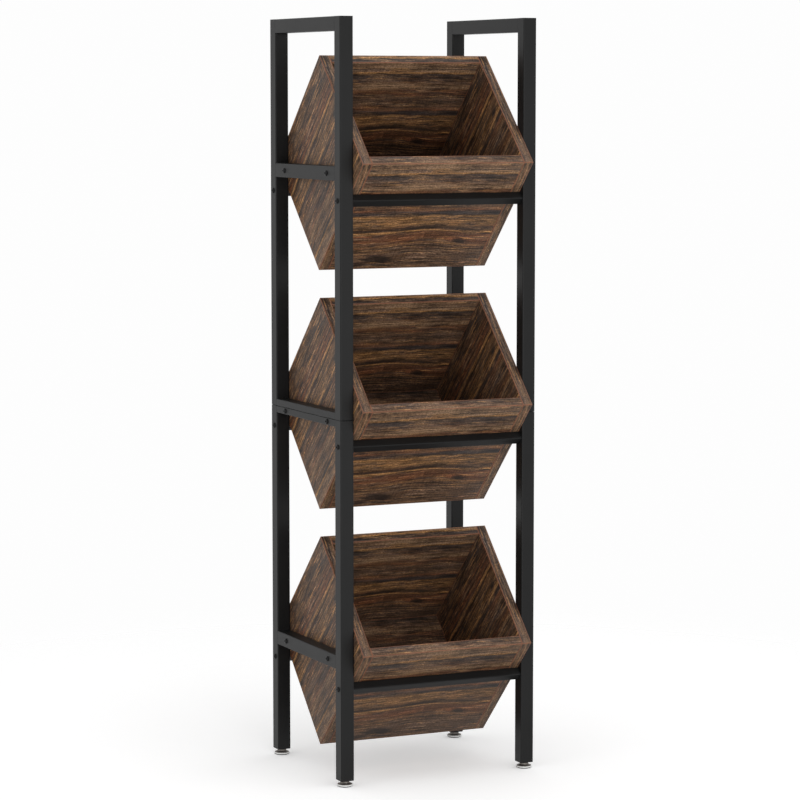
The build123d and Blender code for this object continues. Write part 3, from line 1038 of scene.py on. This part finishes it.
def board(half_across, half_thick, half_along, pockets=()):
    """A board with its grain along z and its pockets, if any, on the +y face."""
    acrosses = sorted({across for across, _ in pockets})
    extra = sorted((a + side * POCKET_CELL for a in acrosses for side in (1, -1)), reverse=True)
    cuts = [along + side * POCKET_CELL for _, along in pockets for side in (-1, 1)]
    inset, height = board_rows(half_along, cuts)
    radius = np.maximum(ARRIS - inset, LEAST_RADIUS / 2)
    outlines = rounded_rectangle(half_across - inset, half_thick - inset, radius, ARRIS_MARGIN, extra)
    points = carried(outlines, height)
    columns = outlines.shape[1]
    faces = capped(len(height), columns)
    for across, along in pockets:
        row = int(np.argmin(np.abs(height - (along - POCKET_CELL))))
        off = np.abs(outlines[row, :, 0] - (across + POCKET_CELL))
        column = int(np.argmin(np.where(outlines[row, :, 1] > 0, off, np.inf)))
        first = row * columns + column
        cell = [first, first + 1, first + columns + 1, first + columns]
        faces.remove(cell)
        more_points, more_faces = pocket(points, cell, across, along, half_thick)
        points = np.concatenate([points, more_points])
        faces += more_faces
    return points, faces


print("arrises of", ARRIS, "mm and pockets of", POCKET_RADIUS, "mm")

# %% Lay the print on a board
WALL_PRINT = (0.0, 0.0)
FLOOR_PRINT = (0.0, 33.0)
END_PRINT = (300.0, 0.0)
PLAIN_STRIPS = (38.0, 38.0)
BACK_STRIPS = (20.0, 20.0)
# Painted light and shade in print tones: light bands on the ends' front and back edges, dark on rims.
END_STRIPS_LIT_AND_SHADED = (2.0, 92.0)
ARRIS_SLACK = 1.01
OWN_X, OWN_Y, OWN_Z = range(3)


def lay_print(mesh, points, half, face_from, strips):
    """UV map in metres along and across the print, worked out face by face in the board's own axes, and an
    attribute that is 1 on the arrises. Each board is cut from its own place along and across the sheet,
    and its side and end edges are covered with strips from other places."""
    half_across, half_thick, _ = half
    along_from, across_from = face_from
    side_strip, end_strip = strips
    counts = np.zeros(len(mesh.polygons), np.int32)
    mesh.polygons.foreach_get("loop_total", counts)
    normals = np.zeros(len(mesh.polygons) * 3)
    mesh.polygons.foreach_get("normal", normals)
    facing = np.repeat(np.argmax(np.abs(normals.reshape(-1, 3)), axis=1), counts)
    corners = np.zeros(len(mesh.loops), np.int32)
    mesh.loops.foreach_get("vertex_index", corners)
    across, thick, along = points[corners].T
    strip = np.where(facing == OWN_X, side_strip, end_strip) + half_thick - thick
    u = along_from + np.where(facing == OWN_Z, across, along)
    v = np.where(facing == OWN_Y, across_from + half_across + across, strip)
    layer = mesh.uv_layers.new(name=PRINT_MAP)
    layer.data.foreach_set("uv", (np.stack([u, v], axis=1) * MM).astype(np.float32).ravel())
    second_nearest = np.sort(np.array(half) - np.abs(points), axis=1)[:, 1]
    attribute = mesh.attributes.new("arris", "FLOAT", "POINT")
    attribute.data.foreach_set("value", (second_nearest < ARRIS * ARRIS_SLACK).astype(np.float32))


def add_board(node, half, axes, middle, pockets=(), face_from=WALL_PRINT, strips=PLAIN_STRIPS):
    """A board made in its own axes, printed there, and then put in its place."""
    points, faces = board(*half, pockets)
    piece = add_piece(f"{node}_board", (points, faces), rustic_print, replaced=[node])
    lay_print(piece.data, points, half, face_from, strips)
    piece.data.vertices.foreach_set("co", placed(points, axes, middle).astype(np.float32).ravel())
    piece.data.update()


print("end panels take the print from", END_PRINT[0], "mm along the sheet")

# %% The bins
# A board turned by 45 degrees has a box whose half height is the sum of its own halves times SLANT.
_, wall_box = node_box("top_bin_front")
_, end_box = node_box("top_bin_left_end")
LONG_HALF = wall_box[0]
BOARD_HALF = end_box[0]
DEPTH_HALF = wall_box[1] / SLANT - BOARD_HALF
OPENING_HALF = end_box[1] / SLANT - DEPTH_HALF
CAM_SETBACK = 24.0
CAM_STEP = 55.0
CAM_ALONG = LONG_HALF - CAM_SETBACK
PANEL_LINE = OPENING_HALF - BOARD_HALF
FLOOR_LINE = BOARD_HALF - DEPTH_HALF


def bin_centre(level):
    """Middle of a bin, which is the middle of its end panels in y and z."""
    middle, _ = node_box(f"{level}_bin_left_end")
    return np.array([0.0, middle[1], middle[2]])


def add_bin(level):
    """Five boards in the bin's turned axes: the grain runs along x, and up to the rim on the end panels."""
    name = f"{level}_bin"
    centre = bin_centre(level)
    wall_axes = axes_of(ACROSS_X, -BIN_Z)
    floor_axes = axes_of(ACROSS_X, -BIN_Y)
    end_axes = axes_of(BIN_Z, BIN_Y)
    wall_half = (DEPTH_HALF, BOARD_HALF, LONG_HALF)
    floor_half = (OPENING_HALF - 2 * BOARD_HALF, BOARD_HALF, LONG_HALF)
    end_half = (OPENING_HALF, BOARD_HALF, DEPTH_HALF)
    front_spot = centre - PANEL_LINE * BIN_Y
    back_spot = centre + PANEL_LINE * BIN_Y
    floor_spot = centre + FLOOR_LINE * BIN_Z
    pockets = [(-CAM_STEP, -CAM_ALONG), (-CAM_STEP, CAM_ALONG)]
    add_board(f"{name}_front", wall_half, wall_axes, front_spot, pockets)
    add_board(f"{name}_back", wall_half, wall_axes, back_spot, pockets, strips=BACK_STRIPS)
    add_board(f"{name}_floor", floor_half, floor_axes, floor_spot, pockets, face_from=FLOOR_PRINT)
    for side, sign in SIDES.items():
        end_spot = centre + sign * (LONG_HALF + BOARD_HALF) * ACROSS_X
        add_board(f"{name}_{side}_end", end_half, end_axes, end_spot, (), END_PRINT, END_STRIPS_LIT_AND_SHADED)


for level in LEVELS:
    add_bin(level)
print("bins:", len(LEVELS), "of five boards,", round(2 * OPENING_HALF, 2), "mm across the opening")

# %% [markdown]
# ## Bolts and cams
# The bolts have low domed heads with a hexagon socket, and the cams a cross slot. A Screw modifier turns a
# profile into a round piece, but inside the socket the outline stops being a circle. So each piece is a
# stack of outlines, circles at first and then hexagons or crosses, with radius as a function of the angle.

# %% Turned pieces
TURN_STEPS = 48
ANGLES = np.arange(TURN_STEPS) * FULL_TURN / TURN_STEPS
SIXTH_TURN = FULL_TURN / 6
ARM_DEGREES = 15
TINY = 1e-9


def circles(radii):
    """One circle per radius, as outlines."""
    return np.asarray(radii, float).reshape(-1, 1) * np.ones(TURN_STEPS)


def hexagon(flat):
    """Radius of a hexagon at each angle: half its width across flats, over the cosine of the angle from
    the nearest flat."""
    return flat / np.cos((ANGLES + SIXTH_TURN / 2) % SIXTH_TURN - SIXTH_TURN / 2)


def cross(half_width):
    """Radius of a cross at each angle: the larger of two bars' radii. An arm's corners lie ARM_DEGREES off
    its middle line."""
    reach = half_width / math.tan(math.radians(ARM_DEGREES))
    run = np.maximum(np.abs(np.cos(ANGLES)), TINY)
    rise = np.maximum(np.abs(np.sin(ANGLES)), TINY)
    lying = np.minimum(reach / run, half_width / rise)
    standing = np.minimum(half_width / run, reach / rise)
    return np.maximum(lying, standing)


def turned(radii, heights):
    """A turned piece: radius by row and angle at each height, closed by a face at both ends."""
    outlines = radii[..., None] * np.stack([np.cos(ANGLES), np.sin(ANGLES)], axis=-1)
    return carried(outlines, heights), capped(len(heights), TURN_STEPS)


print("turned pieces have", TURN_STEPS, "steps round")

# %% Shape of a button-head bolt
HEAD_RADIUS = 4.7
HEAD_HEIGHT = 2.6
HEAD_RIM = 0.6
HEAD_FLAT = 2.5
HEAD_STEPS = 6
RIM_ROUND = 0.25
SOCKET_RIM = 2.2
SOCKET_FLAT = 1.75
SOCKET_FLOOR = 0.9
SHANK_RADIUS = 3.0
SHANK_TIP = 0.6


def button_bolt(length):
    """Shank up to the seat at height 0, then a head with a rounded rim, an elliptical dome and a hexagon
    socket."""
    dome = quarter(HEAD_STEPS)
    shank = [SHANK_RADIUS - SHANK_TIP, SHANK_RADIUS, SHANK_RADIUS, HEAD_RADIUS - RIM_ROUND, HEAD_RADIUS]
    curve = HEAD_FLAT + (HEAD_RADIUS - HEAD_FLAT) * np.cos(dome)
    rise = HEAD_RIM + (HEAD_HEIGHT - HEAD_RIM) * np.sin(dome)
    socket = hexagon(SOCKET_FLAT)[None]
    radii = [circles(np.concatenate([shank, curve, [SOCKET_RIM]])), socket, socket]
    under = [-length, SHANK_TIP - length, 0, 0, RIM_ROUND]
    inside = [HEAD_HEIGHT, HEAD_HEIGHT - RIM_ROUND, SOCKET_FLOOR]
    return turned(np.concatenate(radii), np.concatenate([under, rise, inside]))


print("bolt heads", 2 * HEAD_RADIUS, "mm wide")

# %% Bolts in their places
BIN_BOLT_Y = (-90.5, 99.5)
SECTION_BOLT_Y = (-38.0, 52.0)
BIN_BOLT_LENGTH = 37.3
RAIL_BOLT_LENGTH = 41.0
SECTION_BOLT_LENGTH = 19.7
BIN_RAILS = ("left_upper_bin_rail", "left_lower_seam_rail", "left_lower_bin_rail")
FRONT_TO_BACK = (0, 1, 0)

post_middle, post_half = node_box("right_upper_front_post")
outer_face = post_middle[0] + post_half[0]
seam_middle, seam_half = node_box("right_lower_seam_rail")
seam_underside = seam_middle[2] - seam_half[2]
downward = axes_of((0, 0, -1), FRONT_TO_BACK)
rail_heights = [node_box(rail)[0][2] for rail in BIN_RAILS]
cross_middles = [node_box(node)[0] for node in cross_nodes]
bin_places = []
cross_places = []
section_places = []
for sign in SIDES.values():
    outward = axes_of((sign, 0, 0), FRONT_TO_BACK)
    face = sign * outer_face
    seam = sign * seam_middle[0]
    bin_places += [(outward, (face, y, z)) for y in BIN_BOLT_Y for z in rail_heights]
    cross_places += [(outward, (face, y, z)) for _, y, z in cross_middles]
    section_places += [(downward, (seam, y, seam_underside)) for y in SECTION_BOLT_Y]
BOLTS = {
    "bin_bolts": (bin_places, BIN_BOLT_LENGTH),
    "cross_rail_bolts": (cross_places, RAIL_BOLT_LENGTH),
    "section_bolts": (section_places, SECTION_BOLT_LENGTH),
}
for node, (places, length) in BOLTS.items():
    bolts = copies(button_bolt(length), places)
    add_piece(f"{node}_button_head", bolts, black_oxide, replaced=[node])
    print(node, len(places))

# %% Cams
CAM_RADIUS = 7.3
CAM_BOTTOM = -12.9
CAM_SUNK = -0.15
CAM_BEVEL = 0.4
CAM_FLAT = 4.8
CROSS_HALF_WIDTH = 1.0
CROSS_FLOOR = -2.6


def cam():
    """A disc just below the board's face with a bevelled rim and a cross slot."""
    slot = cross(CROSS_HALF_WIDTH)[None]
    radii = [circles([CAM_RADIUS, CAM_RADIUS, CAM_RADIUS - CAM_BEVEL, CAM_FLAT]), slot, slot]
    heights = [CAM_BOTTOM, CAM_SUNK - CAM_BEVEL, CAM_SUNK, CAM_SUNK, CAM_SUNK, CROSS_FLOOR]
    return turned(np.concatenate(radii), heights)


def cam_places(level):
    """Axes and middle of each cam, on the inner face of the front, the outer face of the back, and under
    the floor."""
    centre = bin_centre(level)
    inner = centre + (BOARD_HALF - PANEL_LINE) * BIN_Y + CAM_STEP * BIN_Z
    outer = centre + OPENING_HALF * BIN_Y + CAM_STEP * BIN_Z
    under = centre - DEPTH_HALF * BIN_Z + CAM_STEP * BIN_Y
    places = []
    for spot, way in [(inner, BIN_Y), (outer, BIN_Y), (under, -BIN_Z)]:
        axes = axes_of(way, ACROSS_X)
        places += [(axes, spot + sign * CAM_ALONG * ACROSS_X) for sign in SIDES.values()]
    return places


all_cam_places = [place for level in LEVELS for place in cam_places(level)]
cams = copies(cam(), all_cam_places)
add_piece("cam_discs_cross_slot", cams, cam_metal, replaced=["cam_discs"])
print("cams:", len(all_cam_places))

# %% [markdown]
# ## Levelling feet and post plugs
# A foot is a white nylon sole under a flared metal collar, with a neck and a threaded stud that screws up
# into the post. The collar is a hollow curve in section. The thread could be a bump, but it shows in
# outline when a foot is screwed out. So it is a turned surface whose radius is a triangle wave of height
# minus angle, which is a helix. The plugs close the tops of the posts.

# %% Feet
SOLE_RADIUS = 14.0
SOLE_TOP = 4.0
SOLE_ROUND = 0.7
SOLE_EDGE = 0.4
RING_RADIUS = 11.6
RING_HEIGHT = 1.3
COLLAR_RADIUS = 13.0
COLLAR_TOP = 8.6
COLLAR_RIM = 0.9
COLLAR_BEVEL = 0.3
NECK_RADIUS = 8.0
NECK_TOP = 9.5
NECK_BEVEL = 0.4
STUD_RADIUS = 4.0
STUD_TOP = 49.5
STUD_BEVEL = 1.0
THREAD_PITCH = 1.25
THREAD_DEPTH = 0.55
THREAD_ROWS = 8
CAP_RADIUS = 1.0
FOOT_ROUND = 5
ON_FLOOR = (1, 1, 0)


def sole():
    """Disc on a narrower ring: a hollow quarter ellipse leads out from the ring to the rim, and the rim
    has a round edge below and a rounded shoulder above."""
    turn = quarter(FOOT_ROUND)
    hollow = SOLE_RADIUS - SOLE_EDGE - (SOLE_RADIUS - SOLE_EDGE - RING_RADIUS) * np.cos(turn)
    lift = RING_HEIGHT * np.sin(turn)
    edge = SOLE_RADIUS - SOLE_EDGE * (1 - np.sin(turn))
    edge_rise = RING_HEIGHT + SOLE_EDGE * (1 - np.cos(turn))
    shoulder = SOLE_RADIUS - SOLE_ROUND * (1 - np.cos(turn))
    shoulder_rise = SOLE_TOP - SOLE_ROUND * (1 - np.sin(turn))
    radii = np.concatenate([[CAP_RADIUS], hollow, edge[1:], shoulder, [COLLAR_RADIUS, CAP_RADIUS]])
    heights = np.concatenate([[0], lift, edge_rise[1:], shoulder_rise, [SOLE_TOP, SOLE_TOP]])
    return turned(circles(radii), heights)


def stud():
    """Collar with a hollow flare, neck, and a threaded stud with a chamfered end."""
    turn = quarter(FOOT_ROUND)
    rim = [CAP_RADIUS, COLLAR_RADIUS - COLLAR_BEVEL, COLLAR_RADIUS]
    rim_heights = [SOLE_TOP, SOLE_TOP, SOLE_TOP + COLLAR_BEVEL]
    flare = NECK_RADIUS + (COLLAR_RADIUS - NECK_RADIUS) * (1 - np.sin(turn))
    flare_heights = SOLE_TOP + COLLAR_RIM + (COLLAR_TOP - SOLE_TOP - COLLAR_RIM) * (1 - np.cos(turn))
    neck = [NECK_RADIUS, NECK_RADIUS - NECK_BEVEL]
    neck_heights = [NECK_TOP - NECK_BEVEL, NECK_TOP]
    turns = (STUD_TOP - NECK_TOP) / THREAD_PITCH
    thread_heights = np.linspace(NECK_TOP, STUD_TOP - STUD_BEVEL, int(turns * THREAD_ROWS))
    phase = (thread_heights[:, None] / THREAD_PITCH - ANGLES / FULL_TURN) % 1
    thread = STUD_RADIUS - THREAD_DEPTH * np.abs(2 * phase - 1)
    tip = np.minimum(thread[-1:], STUD_RADIUS - STUD_BEVEL)
    radii = np.concatenate([circles(np.concatenate([rim, flare, neck])), thread, tip])
    heights = np.concatenate([rim_heights, flare_heights, neck_heights, thread_heights, [STUD_TOP]])
    return turned(radii, heights)


sole_shape = sole()
stud_shape = stud()
FEET = [f"{depth}_{side}_foot" for depth in DEPTHS for side in SIDES]
for foot in FEET:
    middle, _ = node_box(f"{foot}_sole")
    places = [(UPRIGHT, middle * ON_FLOOR)]
    nylon_sole = copies(sole_shape, places)
    threaded_stud = copies(stud_shape, places)
    add_piece(f"{foot}_nylon_sole", nylon_sole, white_nylon, foot, [f"{foot}_sole"])
    add_piece(f"{foot}_threaded_stud", threaded_stud, foot_metal, foot, [f"{foot}_stud"])
print("feet:", FEET)

# %% Post plugs
PLUG_HALF = 11.2
PLUG_ROUND = 0.8
PLUG_DOME = 0.5
PLUG_DEPTH = 10.0
PLUG_STEPS = 6
PLUG_TOP_HALF = 0.5
PLUG_LEAST_RADIUS = 0.4
PLUG_MARGIN = 0.1


def plug():
    """Square plug with round corners whose top rises to a low dome, flush with the post in the middle."""
    turn = quarter(PLUG_STEPS)
    over = PLUG_ROUND * (1 - np.cos(turn))
    in_steps = np.linspace(PLUG_ROUND, PLUG_HALF - PLUG_TOP_HALF, PLUG_STEPS)[1:]
    inset = np.concatenate([[0], over, in_steps])
    share = (in_steps - PLUG_ROUND) / (PLUG_HALF - PLUG_ROUND)
    shoulder = -PLUG_DOME - PLUG_ROUND * (1 - np.sin(turn))
    heights = np.concatenate([[-PLUG_DEPTH], shoulder, PLUG_DOME * (1 - (1 - share) ** 2) - PLUG_DOME])
    half = PLUG_HALF - inset
    radius = np.minimum(np.maximum(TUBE_RADIUS - inset, PLUG_LEAST_RADIUS), half / 2)
    outlines = rounded_rectangle(half, half, radius, PLUG_MARGIN)
    return carried(outlines, heights), capped(len(heights), outlines.shape[1])


posts = [node_box(f"{side}_upper_{depth}_post") for side in SIDES for depth in DEPTHS]
plugs = copies(plug(), [(UPRIGHT, middle + (0, 0, half[2])) for middle, half in posts])
add_piece("post_plugs_domed", plugs, black_plastic, replaced=["post_caps"])
print("post plugs:", len(posts))

# %% [markdown]
# ## Pieces that stay as the CAD has them
# Nuts, inserts, cam bolts and dowels sit inside tubes and boards. They could be modelled as finely as the
# rest, but nobody sees them, so their CAD shape is enough and they only get their finish.

# %% Finishes for the hidden pieces
HIDDEN = {
    "foot_inserts": black_plastic,
    "section_nuts": zinc_steel,
    "bin_insert_nuts": zinc_steel,
    "cross_rail_end_nuts": zinc_steel,
    "cam_bolts": zinc_steel,
    "panel_dowels": beech,
}
for node, finish in HIDDEN.items():
    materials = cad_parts[node].data.materials
    materials.clear()
    materials.append(finish)
print("hidden pieces:", sorted(HIDDEN))
